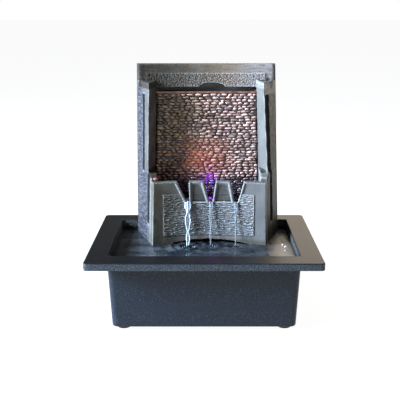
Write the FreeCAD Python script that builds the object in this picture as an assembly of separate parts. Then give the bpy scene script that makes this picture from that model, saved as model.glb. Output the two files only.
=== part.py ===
import FreeCAD, Part
import math
import os

# Tabletop water fountain, millimetres, +Z up, +Y to the back.
# Origin: on the table, under the centre of the basin's rim.
# A moulded basin holds the water. A hollow slate-look tower stands in it, over a small
# submersible pump that lifts the water to a trough behind the tower's header.

# ---------------------------------------------------------------- driving dimensions
RIM_WIDTH = 222.8
RIM_DEPTH = 163.0
RIM_TOP = 77.0
RIM_CORNER = 4.0
LIP_HEIGHT = 7.0
BASIN_WALL = 2.2
BOX_BOTTOM = 3.6
FLOOR_BOTTOM = 6.5
FLOOR_TOP = 9.0
BOX_CENTRE_Y = 1.0
BOX_HALF_WIDTH_TOP = 92.7
BOX_HALF_DEPTH_TOP = 62.7
BOX_DRAFT = 3.2
BOX_CORNER = 6.0

FOOT_RADIUS = 7.5
FOOT_X = 78.8
FOOT_Y = 48.0

TOWER_BOTTOM = 10.2
TOWER_CLEARANCE = 0.8
TOWER_TOP = 248.0
TOWER_WALL = 3.0
BACK_INNER = 55.5
BACK_OUTER = 58.5
WATER_LEVEL = 66.0

FRONT_Y = 4.0
RIDGE_Y = 20.0
PANEL_Y = 44.0
PANEL_THICK = 3.0
LEDGE_TOP = 139.0
WING_TOP = 231.0

WEIR_TOP = 132.0
WEIR_THICK = 8.0
WEIR_HOLLOW_DEPTH = 8.0
WEIR_MID_X = 5.1
NOTCH_BOTTOM = 109.5
POOL_FLOOR = 100.0
TRAY_THICK = 3.0
ARCH_CROWN = 70.5
ARCH_SPRING = 65.0
ARCH_LEFT = -42.0
ARCH_RIGHT = 51.0

HEADER_BOTTOM = 225.0
HEADER_LEFT = -67.0
HEADER_RIGHT = 71.3
HEADER_ENDS_Y = 41.0
HEADER_HOLLOW_DEPTH = 5.0
BAND_BOTTOM = 239.0
PANEL_RAISED = 0.6

TUBE_X = 4.0
TUBE_Y = 51.4
TUBE_RADIUS = 4.0
TUBE_BORE = 3.0

PUMP_FRONT_Y = 29.0
PUMP_BACK_Y = 55.0
PUMP_BOTTOM = 12.5
PUMP_TOP = 44.5
PUMP_AXIS_Y = 42.0
PUMP_AXIS_Z = 31.0
PUMP_REAR = -38.0
PUMP_JOINT = -2.0
VOLUTE_STEP = 7.0
VOLUTE_FRONT = 10.0
COVER_FRONT = 20.0

LAMP_X = 4.0
LAMP_Y = 32.0
LAMP_RADIUS = 9.0

X_AXIS = FreeCAD.Vector(1, 0, 0)
Y_AXIS = FreeCAD.Vector(0, 1, 0)
Z_AXIS = FreeCAD.Vector(0, 0, 1)


# ---------------------------------------------------------------- building blocks
def at(x, y, z):
    return FreeCAD.Vector(x, y, z)


def block(x0, x1, y0, y1, z0, z1):
    return Part.makeBox(x1 - x0, y1 - y0, z1 - z0, at(x0, y0, z0))


def rod(radius, length, start, axis=Z_AXIS):
    return Part.makeCylinder(radius, length, start, axis)


def pipe(outer, bore, length, start, axis=Z_AXIS):
    return rod(outer, length, start, axis).cut(rod(bore, length, start, axis))


def outline(points, z):
    corners = [at(x, y, z) for x, y in points]
    return Part.makePolygon(corners + corners[:1])


def loft_polygons(low, z_low, high, z_high):
    """A solid between two plan polygons with the same number of corners."""
    return Part.makeLoft([outline(low, z_low), outline(high, z_high)], True, True)


def rounded_outline(half_x, half_y, centre_y, radius, z):
    """A rectangle in plan with rounded corners, as one closed wire."""
    face = Part.makePlane(2 * half_x, 2 * half_y, at(-half_x, centre_y - half_y, z))
    prism = face.extrude(at(0, 0, 1))
    upright = [e for e in prism.Edges if abs(e.tangentAt(e.FirstParameter).z) > 0.9]
    rounded = prism.makeFillet(radius, upright)
    bottom = min(rounded.Faces, key=lambda f: f.CenterOfMass.z)
    return bottom.OuterWire


def tapered_box(half_x, half_y, corner, draft, z_low, z_high):
    """A box with rounded upright edges that narrows downwards by draft on each side."""
    low = rounded_outline(half_x - draft, half_y - draft, BOX_CENTRE_Y, corner, z_low)
    high = rounded_outline(half_x, half_y, BOX_CENTRE_Y, corner, z_high)
    return Part.makeLoft([low, high], True, True)


def rounded_plate(half_x, half_y, centre_y, radius, z_low, z_high):
    wire = rounded_outline(half_x, half_y, centre_y, radius, z_low)
    return Part.Face(wire).extrude(at(0, 0, z_high - z_low))


def inset(points, distance):
    """A convex plan polygon, drawn anticlockwise, with every side moved inwards."""
    count = len(points)
    sides = []
    for i in range(count):
        x0, y0 = points[i]
        x1, y1 = points[(i + 1) % count]
        length = math.hypot(x1 - x0, y1 - y0)
        nx = -(y1 - y0) / length
        ny = (x1 - x0) / length
        sides.append((nx, ny, nx * x0 + ny * y0 + distance))
    moved = []
    for i in range(count):
        a0, b0, c0 = sides[i - 1]
        a1, b1, c1 = sides[i]
        det = a0 * b1 - a1 * b0
        moved.append(((c0 * b1 - c1 * b0) / det, (a0 * c1 - a1 * c0) / det))
    return moved


def bent_path(points, radius_share=0.45):
    """Straight runs joined by tangent arcs as large as the shorter run beside each allows."""
    edges = []
    start = points[0]
    for i in range(1, len(points) - 1):
        corner = points[i]
        back = points[i - 1] - corner
        ahead = points[i + 1] - corner
        reach = radius_share * min(back.Length, ahead.Length)
        back.normalize()
        ahead.normalize()
        first = corner + back * reach
        last = corner + ahead * reach
        middle_way = back + ahead
        middle_way.normalize()
        half_angle = back.getAngle(ahead) / 2
        radius = reach * math.tan(half_angle)
        centre_distance = math.hypot(reach, radius)
        middle = corner + middle_way * (centre_distance - radius)
        edges.append(Part.LineSegment(start, first).toShape())
        edges.append(Part.Arc(first, middle, last).toShape())
        start = last
    edges.append(Part.LineSegment(start, points[-1]).toShape())
    return Part.Wire(edges)


def round_tube_along(path, radius, direction):
    start = path.Vertexes[0].Point
    ring = Part.Wire(Part.makeCircle(radius, start, direction))
    return path.makePipeShell([ring], True, False)


def save(name, *solids):
    shape = solids[0] if len(solids) == 1 else Part.makeCompound(list(solids))
    for solid in shape.Solids:
        if not solid.isValid() or not solid.isClosed():
            print("BAD SOLID in", name)
    shape.exportStep("parts/" + name + ".step")
    print(name, len(shape.Solids), "solid(s)", round(shape.Volume / 1000, 2), "cm3")


# ---------------------------------------------------------------- the basin and its feet
def make_basin():
    depth_high = RIM_TOP - BOX_BOTTOM
    outer = tapered_box(BOX_HALF_WIDTH_TOP, BOX_HALF_DEPTH_TOP, BOX_CORNER, BOX_DRAFT,
                        BOX_BOTTOM, RIM_TOP)
    rise = (FLOOR_TOP - BOX_BOTTOM) / depth_high
    inner = tapered_box(BOX_HALF_WIDTH_TOP - BASIN_WALL, BOX_HALF_DEPTH_TOP - BASIN_WALL,
                        BOX_CORNER - BASIN_WALL, BOX_DRAFT * (1 - rise), FLOOR_TOP, RIM_TOP)
    bottom_edges = [e for e in outer.Edges
                    if max(v.Z for v in e.Vertexes) < BOX_BOTTOM + 0.01]
    outer = outer.makeFillet(1.5, bottom_edges)
    recess_rise = (FLOOR_BOTTOM - BOX_BOTTOM) / depth_high
    recess = tapered_box(BOX_HALF_WIDTH_TOP - BASIN_WALL - BOX_DRAFT * (1 - recess_rise),
                         BOX_HALF_DEPTH_TOP - BASIN_WALL - BOX_DRAFT * (1 - recess_rise),
                         BOX_CORNER - BASIN_WALL, BOX_DRAFT * recess_rise, BOX_BOTTOM, FLOOR_BOTTOM)
    flange = rounded_plate(RIM_WIDTH / 2, RIM_DEPTH / 2, 0, RIM_CORNER,
                           RIM_TOP - BASIN_WALL, RIM_TOP)
    skirt_outer = rounded_plate(RIM_WIDTH / 2, RIM_DEPTH / 2, 0, RIM_CORNER,
                                RIM_TOP - LIP_HEIGHT, RIM_TOP)
    skirt_inner = rounded_plate(RIM_WIDTH / 2 - BASIN_WALL, RIM_DEPTH / 2 - BASIN_WALL, 0,
                                RIM_CORNER - BASIN_WALL, RIM_TOP - LIP_HEIGHT, RIM_TOP)
    shell = outer.fuse([flange, skirt_outer.cut(skirt_inner)]).cut([inner, recess]).removeSplitter()

    def on_top_edge(edge):
        return min(v.Z for v in edge.Vertexes) > RIM_TOP - 0.01

    return shell.makeFillet(1.1, [e for e in shell.Edges if on_top_edge(e)])


def make_feet():
    feet = []
    for x in (-FOOT_X, FOOT_X):
        for y in (BOX_CENTRE_Y - FOOT_Y, BOX_CENTRE_Y + FOOT_Y):
            foot = Part.makeCone(FOOT_RADIUS - 0.5, FOOT_RADIUS, FLOOR_BOTTOM, at(x, y, 0))
            rim = [e for e in foot.Edges if max(v.Z for v in e.Vertexes) < 0.01]
            feet.append(foot.makeFillet(0.8, rim))
    return feet


def beside_the_basin_room():
    """All that lies outside the basin's room, less the tower's clearance, up to the rim."""
    margin = BASIN_WALL + TOWER_CLEARANCE
    room = tapered_box(BOX_HALF_WIDTH_TOP - margin, BOX_HALF_DEPTH_TOP - margin,
                       BOX_CORNER - BASIN_WALL, BOX_DRAFT, BOX_BOTTOM, RIM_TOP)
    return block(-110, 110, -80, 80, BOX_BOTTOM, RIM_TOP).cut(room)


# ---------------------------------------------------------------- the tower's plan lines
def left_back(z):
    return -72.9 + 3.0 * (z - WATER_LEVEL) / 182


def right_back(z):
    return 81.2 - 7.2 * (z - WATER_LEVEL) / 182


def left_front(z):
    return -53.8 + 2.7 * (z - WATER_LEVEL) / 66


def right_front(z):
    return 64.0 - 1.5 * (z - WATER_LEVEL) / 66


def left_ridge(z):
    return -57.6 + 2.4 * (z - LEDGE_TOP) / 92


def right_ridge(z):
    return 65.3 - 5.9 * (z - LEDGE_TOP) / 92


def left_jamb(z):
    return -51.7 + 2.6 * (z - LEDGE_TOP) / 80


def right_jamb(z):
    return 57.4 - 3.2 * (z - LEDGE_TOP) / 80


def left_low(z):
    return [(left_back(z), BACK_INNER), (left_front(z), FRONT_Y),
            (left_front(z) + 6, FRONT_Y), (left_jamb(z), PANEL_Y), (left_jamb(z), BACK_INNER)]


def right_low(z):
    return [(right_back(z), BACK_INNER), (right_jamb(z), BACK_INNER), (right_jamb(z), PANEL_Y),
            (right_front(z) - 6, FRONT_Y), (right_front(z), FRONT_Y)]


def left_high(z):
    return [(left_back(z), BACK_INNER), (left_ridge(z), RIDGE_Y),
            (left_jamb(z), PANEL_Y), (left_jamb(z), BACK_INNER)]


def right_high(z):
    return [(right_back(z), BACK_INNER), (right_jamb(z), BACK_INNER),
            (right_jamb(z), PANEL_Y), (right_ridge(z), RIDGE_Y)]


def stack(plan, z_low, z_high, wall=0.0):
    """A wing's block between two heights. With a wall, its hollow, which runs out at the back."""
    low = plan(z_low)
    high = plan(z_high)
    if wall:
        low = [(x, y + 2 * wall if y > BACK_INNER - 2 * wall else y) for x, y in inset(low, wall)]
        high = [(x, y + 2 * wall if y > BACK_INNER - 2 * wall else y) for x, y in inset(high, wall)]
    return loft_polygons(low, z_low, high, z_high)


def hollow_front(half_chord, depth, end_y, extra):
    """The upright cylinder in front of the tower that leaves a hollow curved face behind it."""
    radius = half_chord ** 2 / (2 * depth) + depth / 2
    centre = at(WEIR_MID_X, end_y + depth - radius, 0)
    return rod(radius + extra, TOWER_TOP + 10, centre)


def weir_cylinder(extra):
    return hollow_front(59.0, WEIR_HOLLOW_DEPTH, FRONT_Y, extra)


def ledge_cutter():
    """Takes the top off the lower block so that it slopes down to the front."""
    low_y = FRONT_Y - 2
    profile = [at(-100, RIDGE_Y, LEDGE_TOP), at(-100, low_y, WEIR_TOP - 1),
               at(-100, low_y, LEDGE_TOP + 20), at(-100, RIDGE_Y, LEDGE_TOP + 20)]
    return Part.Face(Part.makePolygon(profile + profile[:1])).extrude(at(200, 0, 0))


def wing_blocks():
    """Both wings as full blocks, before they are hollowed."""
    low = [stack(plan, TOWER_BOTTOM, LEDGE_TOP) for plan in (left_low, right_low)]
    high = [stack(plan, LEDGE_TOP - 30, WING_TOP) for plan in (left_high, right_high)]
    lower = low[0].fuse(low[1]).cut(weir_cylinder(WEIR_THICK)).cut(ledge_cutter())
    return lower.fuse(high).removeSplitter()


def screw_places():
    """Each rear screw's x and z, three up each wing."""
    places = []
    for z in (52.0, 138.0, 214.0):
        places.append((left_back(z) + 10.5, z))
        places.append((right_back(z) - 11.0, z))
    return places


# ---------------------------------------------------------------- the tower's mouldings
def make_tower_shell():
    blocks = wing_blocks()
    hollows = [stack(plan, TOWER_BOTTOM, WEIR_TOP - 8, TOWER_WALL)
               for plan in (left_low, right_low)]
    hollows += [stack(plan, LEDGE_TOP - 30, WING_TOP - TOWER_WALL, TOWER_WALL)
                for plan in (left_high, right_high)]
    header = block(HEADER_LEFT, HEADER_RIGHT, HEADER_ENDS_Y, BACK_INNER, HEADER_BOTTOM, TOWER_TOP)
    header_front = hollow_front(69.2, HEADER_HOLLOW_DEPTH, HEADER_ENDS_Y, 0)
    header = header.cut(header_front)
    pebbled = block(-59.0, 63.5, 30, 49, HEADER_BOTTOM, BAND_BOTTOM)
    pebbled = pebbled.cut(hollow_front(69.2, HEADER_HOLLOW_DEPTH, HEADER_ENDS_Y, -PANEL_RAISED))
    header = header.fuse(pebbled)
    header_room = block(HEADER_LEFT + TOWER_WALL, HEADER_RIGHT - TOWER_WALL, 49.5, BACK_INNER,
                        WING_TOP + TOWER_WALL, TOWER_TOP - TOWER_WALL)
    trough_room = block(left_jamb(HEADER_BOTTOM) + 0.5, right_jamb(HEADER_BOTTOM) - 0.5, 49.5,
                        BACK_INNER, HEADER_BOTTOM, TOWER_TOP - TOWER_WALL)
    notch = Part.Ellipse(at(8.2, 30, HEADER_BOTTOM), 13.4, 4.2)
    notch_face = Part.Face(Part.Wire(notch.toShape()))
    notch_face.rotate(at(8.2, 30, HEADER_BOTTOM), X_AXIS, 90)
    notch_cut = notch_face.extrude(at(0, 25, 0))
    header = header.cut([header_room, trough_room, notch_cut])
    shell = blocks.cut(hollows[0].fuse(hollows[1:])).fuse(header)
    for x, z in screw_places():
        boss = rod(3.6, 24.0, at(x, BACK_INNER - 24.0, z), Y_AXIS).common(blocks)
        shell = shell.fuse(boss)
    for x, z in screw_places():
        shell = shell.cut(rod(1.3, 12.0, at(x, BACK_INNER - 12.0, z), Y_AXIS))
    return shell.cut(beside_the_basin_room()).removeSplitter()


def make_weir_wall():
    """The front wall of the upper pool, with three pouring notches and an arch at its foot."""
    def plan(z):
        y_back = 24.0
        share = (y_back - FRONT_Y) / (BACK_INNER - FRONT_Y)
        left = left_front(z) + share * (left_back(z) - left_front(z))
        right = right_front(z) + share * (right_back(z) - right_front(z))
        return [(left, y_back), (left_front(z), FRONT_Y), (right_front(z), FRONT_Y), (right, y_back)]

    wall = loft_polygons(plan(TOWER_BOTTOM), TOWER_BOTTOM, plan(LEDGE_TOP), LEDGE_TOP)
    wall = wall.common(weir_cylinder(WEIR_THICK)).cut(weir_cylinder(0)).cut(ledge_cutter())
    wall = wall.cut(block(-100, 100, -20, 40, WEIR_TOP, LEDGE_TOP + 5))
    rippled = weir_cylinder(WEIR_THICK / 2).cut(weir_cylinder(-PANEL_RAISED))
    wall = wall.fuse(rippled.common(block(-41.5, 50.7, -20, 40, 76.0, 119.0)))
    notch_shapes = (((-28.4, -15.3), (-18.2, -14.9)),
                    ((-1.5, 12.3), (4.9, 9.1)),
                    ((26.5, 41.1), (30.6, 35.1)))
    for (top_left, top_right), (low_left, low_right) in notch_shapes:
        corners = [at(top_left, -20, WEIR_TOP + 1), at(low_left, -20, NOTCH_BOTTOM + 1),
                   at((low_left + low_right) / 2, -20, NOTCH_BOTTOM),
                   at(low_right, -20, NOTCH_BOTTOM + 1), at(top_right, -20, WEIR_TOP + 1)]
        face = Part.Face(Part.makePolygon(corners + corners[:1]))
        wall = wall.cut(face.extrude(at(0, 60, 0)))
    doorway = block(ARCH_LEFT, ARCH_RIGHT, -20, 40, TOWER_BOTTOM - 1, ARCH_SPRING)
    crown_mid = at((ARCH_LEFT + ARCH_RIGHT) / 2, -20, ARCH_CROWN)
    left_end = at(ARCH_LEFT, -20, ARCH_SPRING)
    right_end = at(ARCH_RIGHT, -20, ARCH_SPRING)
    arch_wire = Part.Wire([Part.Arc(left_end, crown_mid, right_end).toShape(),
                           Part.LineSegment(right_end, left_end).toShape()])
    arch = Part.Face(arch_wire).extrude(at(0, 60, 0))
    return wall.cut(doorway.fuse(arch)).removeSplitter()


def make_pool_tray(blocks):
    """The upper pool's floor, between the wings and the weir, with the lamp's seat."""
    tray = block(-60, 70, 4, PANEL_Y + PANEL_THICK, POOL_FLOOR - TRAY_THICK, POOL_FLOOR)
    tray = tray.cut(weir_cylinder(WEIR_THICK)).cut(blocks)
    tray = max(tray.Solids, key=lambda s: s.Volume)
    return tray.cut(rod(LAMP_RADIUS, 10, at(LAMP_X, LAMP_Y, POOL_FLOOR - 5)))


def make_cascade_panel(blocks):
    slab = block(-60, 70, PANEL_Y, PANEL_Y + PANEL_THICK, POOL_FLOOR, 219.0)
    return max(slab.cut(blocks).Solids, key=lambda s: s.Volume)


def make_spill_trough(blocks):
    """The channel behind the panel's top that the water rises into and runs over."""
    back = BACK_INNER - 0.2
    front = PANEL_Y + PANEL_THICK
    channel = block(-60, 70, front, back, 207.0, 222.0)
    lip = block(-60, 70, PANEL_Y - 1.0, front + 1.5, 219.0, 220.2)
    room = block(-47.0, 52.0, front + 1.5, back - 1.5, 209.0, 230.0)
    over_lip = block(-60, 70, front - 5, front + 1.6, 220.2, 230.0)
    spigot = rod(TUBE_BORE, 14.0, at(TUBE_X, TUBE_Y, 194.0))
    trough = channel.fuse(lip).cut(room).cut(over_lip).cut(blocks).fuse(spigot)
    trough = trough.cut(rod(2.0, 20.0, at(TUBE_X, TUBE_Y, 192.0)))
    return max(trough.Solids, key=lambda s: s.Volume)


def make_rear_cover():
    def plan(z):
        return [(left_back(z), BACK_OUTER), (left_back(z), BACK_INNER),
                (right_back(z), BACK_INNER), (right_back(z), BACK_OUTER)]

    cover = loft_polygons(plan(TOWER_BOTTOM), TOWER_BOTTOM, plan(TOWER_TOP), TOWER_TOP)
    for x, z in screw_places():
        cover = cover.cut(rod(1.3, 10.0, at(x, BACK_INNER - 1, z), Y_AXIS))
        cover = cover.cut(rod(3.0, 5.0, at(x, BACK_OUTER - 1.6, z), Y_AXIS))
    lead_slot = block(30.0, 38.0, BACK_INNER - 1, BACK_OUTER + 1, TOWER_BOTTOM - 1, 17.0)
    return cover.cut(lead_slot).cut(beside_the_basin_room())


def make_rear_screws():
    screws = []
    for x, z in screw_places():
        shank = rod(1.27, 13.0, at(x, BACK_OUTER - 14.5, z), Y_AXIS)
        head = rod(2.95, 1.55, at(x, BACK_OUTER - 1.55, z), Y_AXIS)
        slot_a = block(x - 1.7, x + 1.7, BACK_OUTER - 0.8, BACK_OUTER, z - 0.4, z + 0.4)
        slot_b = block(x - 0.4, x + 0.4, BACK_OUTER - 0.8, BACK_OUTER, z - 1.7, z + 1.7)
        screws.append(shank.fuse(head).cut(slot_a.fuse(slot_b)))
    return screws


def make_tower_pads():
    """Soft pads under the tower's walls that lift it off the basin's floor."""
    places = ((-64.5, 46.0), (73.5, 46.0), (-50.0, 11.0), (58.5, 11.0))
    pads = []
    for x, y in places:
        pads.append(rod(3.0, TOWER_BOTTOM - FLOOR_TOP, at(x, y, FLOOR_TOP)))
    return pads


def make_riser_tube():
    return pipe(TUBE_RADIUS, TUBE_BORE, 161.0, at(TUBE_X, TUBE_Y, 45.5))


def make_tube_clips():
    clips = []
    for z in (118.0, 178.0):
        clip = block(TUBE_X - 6, TUBE_X + 6, 49.0, BACK_INNER, z, z + 9.0)
        clips.append(clip.cut(rod(TUBE_RADIUS, 20, at(TUBE_X, TUBE_Y, z - 5))))
    return [solid for clip in clips for solid in clip.Solids]


# ---------------------------------------------------------------- the pump
def across(radius, x0, x1):
    """A round bar along the pump's axis."""
    return rod(radius, x1 - x0, at(x0, PUMP_AXIS_Y, PUMP_AXIS_Z), X_AXIS)


def pump_block(x0, x1, margin):
    return block(x0, x1, PUMP_FRONT_Y + margin, PUMP_BACK_Y - margin,
                 PUMP_BOTTOM + margin, PUMP_TOP - margin)


def make_pump_housing():
    outer = pump_block(PUMP_REAR, PUMP_JOINT, 0)
    upright = [e for e in outer.Edges if abs(e.tangentAt(e.FirstParameter).x) > 0.9]
    outer = outer.makeFillet(3.0, upright)
    room = pump_block(PUMP_REAR, PUMP_JOINT - 2, 2.0)
    can = across(7.5, -30.5, PUMP_JOINT)
    well = across(6.5, -28.0, PUMP_JOINT)
    bush_seat = across(2.5, -30.0, -28.0)
    return outer.cut(room).fuse(can).cut(well).cut(bush_seat)


def make_stator_core():
    plate = block(-24.0, -10.0, 32.0, 52.0, 17.0, 42.0)
    window = block(-24.0, -10.0, 36.0, 48.0, 20.5, 23.3)
    return plate.cut(across(7.5, -24.0, -10.0)).cut(window)


def make_stator_coil():
    wound = block(-26.0, -8.0, 36.5, 47.5, 14.8, 23.1)
    return wound.cut(block(-24.0, -10.0, 30.0, 50.0, 17.0, 20.5))


def make_potting(core, coil):
    resin = pump_block(PUMP_REAR, PUMP_JOINT - 2, 2.0)
    return resin.cut([across(7.5, -30.5, PUMP_JOINT), core, coil])


def make_volute():
    body = pump_block(PUMP_JOINT, VOLUTE_STEP, 0)
    upright = [e for e in body.Edges if abs(e.tangentAt(e.FirstParameter).x) > 0.9]
    body = body.makeFillet(3.0, upright)
    step = pump_block(PUMP_JOINT, VOLUTE_FRONT, 1.8)
    nipple = rod(2.95, 12.0, at(TUBE_X, TUBE_Y, PUMP_TOP - 1))
    chamber = across(10.5, PUMP_JOINT, VOLUTE_FRONT - 2)
    outlet = rod(2.0, 40.0, at(TUBE_X, TUBE_Y, PUMP_AXIS_Z))
    groove = across(12.3, PUMP_JOINT, PUMP_JOINT + 1.2).cut(across(11.1, PUMP_JOINT, PUMP_JOINT + 1.2))
    inlet = across(5.5, VOLUTE_FRONT - 3, VOLUTE_FRONT)
    hub = across(2.6, VOLUTE_FRONT - 2, VOLUTE_FRONT)
    spoke = block(VOLUTE_FRONT - 2, VOLUTE_FRONT, PUMP_AXIS_Y - 6, PUMP_AXIS_Y + 6,
                  PUMP_AXIS_Z - 0.6, PUMP_AXIS_Z + 0.6)
    upright_spoke = block(VOLUTE_FRONT - 2, VOLUTE_FRONT, PUMP_AXIS_Y - 0.6, PUMP_AXIS_Y + 0.6,
                          PUMP_AXIS_Z - 6, PUMP_AXIS_Z + 6)
    volute = body.fuse([step, nipple]).cut([chamber, outlet, groove, inlet])
    return volute.fuse([hub, spoke, upright_spoke]).cut(across(1.8, VOLUTE_FRONT - 2, VOLUTE_FRONT - 0.5))


def make_volute_seal():
    ring = Part.makeTorus(11.7, 0.59, at(PUMP_JOINT + 0.6, PUMP_AXIS_Y, PUMP_AXIS_Z), X_AXIS)
    return ring


def make_rotor_shaft():
    return across(1.0, -29.5, VOLUTE_FRONT - 0.5)


def make_shaft_bushes():
    rear = across(2.5, -30.0, -28.0).cut(across(1.0, -29.5, -28.0))
    front = across(1.8, VOLUTE_FRONT - 2, VOLUTE_FRONT - 0.5).cut(across(1.0, 7.0, VOLUTE_FRONT))
    return [rear, front]


def make_impeller():
    sleeve = across(2.6, -27.3, 6.0)
    disc = across(9.2, -1.4, -0.4)
    blades = []
    for i in range(6):
        blade = block(-0.4, 6.0, PUMP_AXIS_Y + 2.0, PUMP_AXIS_Y + 9.1,
                      PUMP_AXIS_Z - 0.5, PUMP_AXIS_Z + 0.5)
        blade.rotate(at(0, PUMP_AXIS_Y, PUMP_AXIS_Z), X_AXIS, 60 * i)
        blades.append(blade)
    return sleeve.fuse([disc] + blades).cut(across(1.05, -28.0, 7.0))


def make_rotor_magnet():
    return across(5.8, -27.0, -4.2).cut(across(2.6, -27.0, -4.2))


def make_suction_cups():
    cups = []
    for x in (-31.0, 1.0):
        for y in (PUMP_FRONT_Y + 6, PUMP_BACK_Y - 6):
            cup = Part.makeCone(5.0, 2.4, PUMP_BOTTOM - FLOOR_TOP, at(x, y, FLOOR_TOP))
            cups.append(cup.cut(Part.makeCone(4.0, 1.0, 1.8, at(x, y, FLOOR_TOP))))
    return cups


def make_cord_gland():
    """A soft ring in the potted end that the mains lead would come out of."""
    body = Part.makeCone(4.2, 3.4, 5.0, at(PUMP_REAR, PUMP_AXIS_Y, PUMP_AXIS_Z + 6), at(-1, 0, 0))
    return body.cut(rod(1.6, 5.0, at(PUMP_REAR, PUMP_AXIS_Y, PUMP_AXIS_Z + 6), at(-1, 0, 0)))


def make_intake_cover():
    outer = pump_block(VOLUTE_STEP + 0.3, COVER_FRONT, 0)
    upright = [e for e in outer.Edges if abs(e.tangentAt(e.FirstParameter).x) > 0.9]
    outer = outer.makeFillet(3.0, upright)
    cover = outer.cut(pump_block(VOLUTE_STEP + 0.3, COVER_FRONT - 1.5, 1.5))
    slots = []
    for i in range(7):
        y = PUMP_FRONT_Y + 4.0 + 3.0 * i
        slots.append(block(COVER_FRONT - 2, COVER_FRONT + 1, y - 0.7, y + 0.7, 15.0, 23.0))
        slots.append(block(COVER_FRONT - 2, COVER_FRONT + 1, y - 0.7, y + 0.7, 39.0, 42.5))
    return cover.cut(slots).cut(across(2.05, COVER_FRONT - 3, COVER_FRONT + 1))


def make_filter_sponge():
    return pump_block(VOLUTE_FRONT + 0.5, 16.5, 2.0)


def make_flow_dial():
    disc = across(6.0, COVER_FRONT + 0.3, COVER_FRONT + 2.3)
    grip = block(COVER_FRONT + 2.3, COVER_FRONT + 4.3, PUMP_AXIS_Y - 1, PUMP_AXIS_Y + 1,
                 PUMP_AXIS_Z - 5, PUMP_AXIS_Z + 5)
    spindle = across(2.0, 17.0, COVER_FRONT + 0.3)
    head = across(2.9, 17.0, COVER_FRONT - 1.8)
    return disc.fuse([grip, spindle, head])


# ---------------------------------------------------------------- the lamp
def make_lamp_housing():
    cup = rod(LAMP_RADIUS, 18.0, at(LAMP_X, LAMP_Y, 83.5))
    flange = rod(LAMP_RADIUS + 2.0, 1.5, at(LAMP_X, LAMP_Y, POOL_FLOOR + 1.0))
    room = rod(LAMP_RADIUS - 1.5, 20.0, at(LAMP_X, LAMP_Y, 85.0))
    gland_hole = rod(2.5, 5.0, at(LAMP_X, LAMP_Y, 82.0))
    return cup.fuse(flange).cut([room, gland_hole])


def make_lamp_gasket():
    return pipe(LAMP_RADIUS + 2.0, LAMP_RADIUS, 1.0, at(LAMP_X, LAMP_Y, POOL_FLOOR))


def make_lamp_lens():
    seat = POOL_FLOOR + 2.5
    dome = Part.makeSphere(11.4, at(LAMP_X, LAMP_Y, seat - 4.0))
    inner = Part.makeSphere(9.9, at(LAMP_X, LAMP_Y, seat - 4.0))
    cap = dome.cut(inner)
    return cap.common(block(-20, 40, 10, 60, seat, seat + 12))


def make_lamp_board():
    board = rod(LAMP_RADIUS - 1.6, 1.2, at(LAMP_X, LAMP_Y, 95.0))
    resin = rod(LAMP_RADIUS - 1.6, 6.0, at(LAMP_X, LAMP_Y, 89.0))
    return board.fuse(resin).removeSplitter()


def make_lamp_leds():
    lamps = []
    for i in range(6):
        angle = math.radians(60 * i)
        x = LAMP_X + 4.6 * math.cos(angle)
        y = LAMP_Y + 4.6 * math.sin(angle)
        body = rod(1.6, 3.2, at(x, y, 96.2))
        lamps.append(body.fuse(Part.makeSphere(1.6, at(x, y, 99.4))))
    return lamps


def make_lamp_gland():
    return pipe(2.5, 1.2, 3.0, at(LAMP_X, LAMP_Y, 82.0))


LEAD_RADIUS = 1.2
CONNECTOR_X = -44.0
CONNECTOR_Y = 50.5
CONNECTOR_BOTTOM = 77.0
LEAD_ROUTE = (at(LAMP_X, LAMP_Y, 89.0), at(LAMP_X, LAMP_Y, 72.0), at(-8.0, 36.0, 61.0),
              at(-26.0, 46.0, 56.0), at(CONNECTOR_X, CONNECTOR_Y, 61.0),
              at(CONNECTOR_X, CONNECTOR_Y, CONNECTOR_BOTTOM))


def make_lamp_lead():
    path = bent_path(list(LEAD_ROUTE))
    lead = round_tube_along(path, LEAD_RADIUS, at(0, 0, -1))
    section = math.pi * LEAD_RADIUS ** 2
    print("lead length", round(path.Length, 1), "volume share",
          round(lead.Volume / (section * path.Length), 3))
    return lead


def make_lamp_connector():
    """The lead's sealed two-part plug, held upright on the rear cover."""
    def upright(radius, z_low, length):
        return rod(radius, length, at(CONNECTOR_X, CONNECTOR_Y, CONNECTOR_BOTTOM + z_low))

    return upright(4.6, 0, 16.0).fuse(upright(4.9, 7.0, 5.0)).cut(upright(1.6, 12.0, 4.0))


def make_connector_clip():
    low = CONNECTOR_BOTTOM + 2.0
    clip = block(CONNECTOR_X - 4, CONNECTOR_X + 4, CONNECTOR_Y + 1, BACK_INNER, low, low + 4.0)
    clip = clip.cut(rod(4.6, 10.0, at(CONNECTOR_X, CONNECTOR_Y, low - 2)))
    return max(clip.Solids, key=lambda s: s.Volume)


# ---------------------------------------------------------------- write every piece
os.makedirs("parts", exist_ok=True)
tower_blocks = wing_blocks()
stator_core = make_stator_core()
stator_coil = make_stator_coil()

save("basin", make_basin())
save("rubber_feet", *make_feet())
save("tower_shell", make_tower_shell())
save("weir_wall", make_weir_wall())
save("pool_tray", make_pool_tray(tower_blocks))
save("cascade_panel", make_cascade_panel(tower_blocks))
save("spill_trough", make_spill_trough(tower_blocks))
save("rear_cover", make_rear_cover())
save("rear_cover_screws", *make_rear_screws())
save("tower_pads", *make_tower_pads())
save("riser_tube", make_riser_tube())
save("tube_clips", *make_tube_clips())
save("pump_housing", make_pump_housing())
save("stator_core", stator_core)
save("stator_coil", stator_coil)
save("motor_potting", make_potting(stator_core, stator_coil))
save("volute_cover", make_volute())
save("volute_seal", make_volute_seal())
save("rotor_shaft", make_rotor_shaft())
save("shaft_bushes", *make_shaft_bushes())
save("impeller", make_impeller())
save("rotor_magnet", make_rotor_magnet())
save("suction_cups", *make_suction_cups())
save("cord_gland", make_cord_gland())
save("intake_cover", make_intake_cover())
save("filter_sponge", make_filter_sponge())
save("flow_dial", make_flow_dial())
save("lamp_housing", make_lamp_housing())
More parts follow.
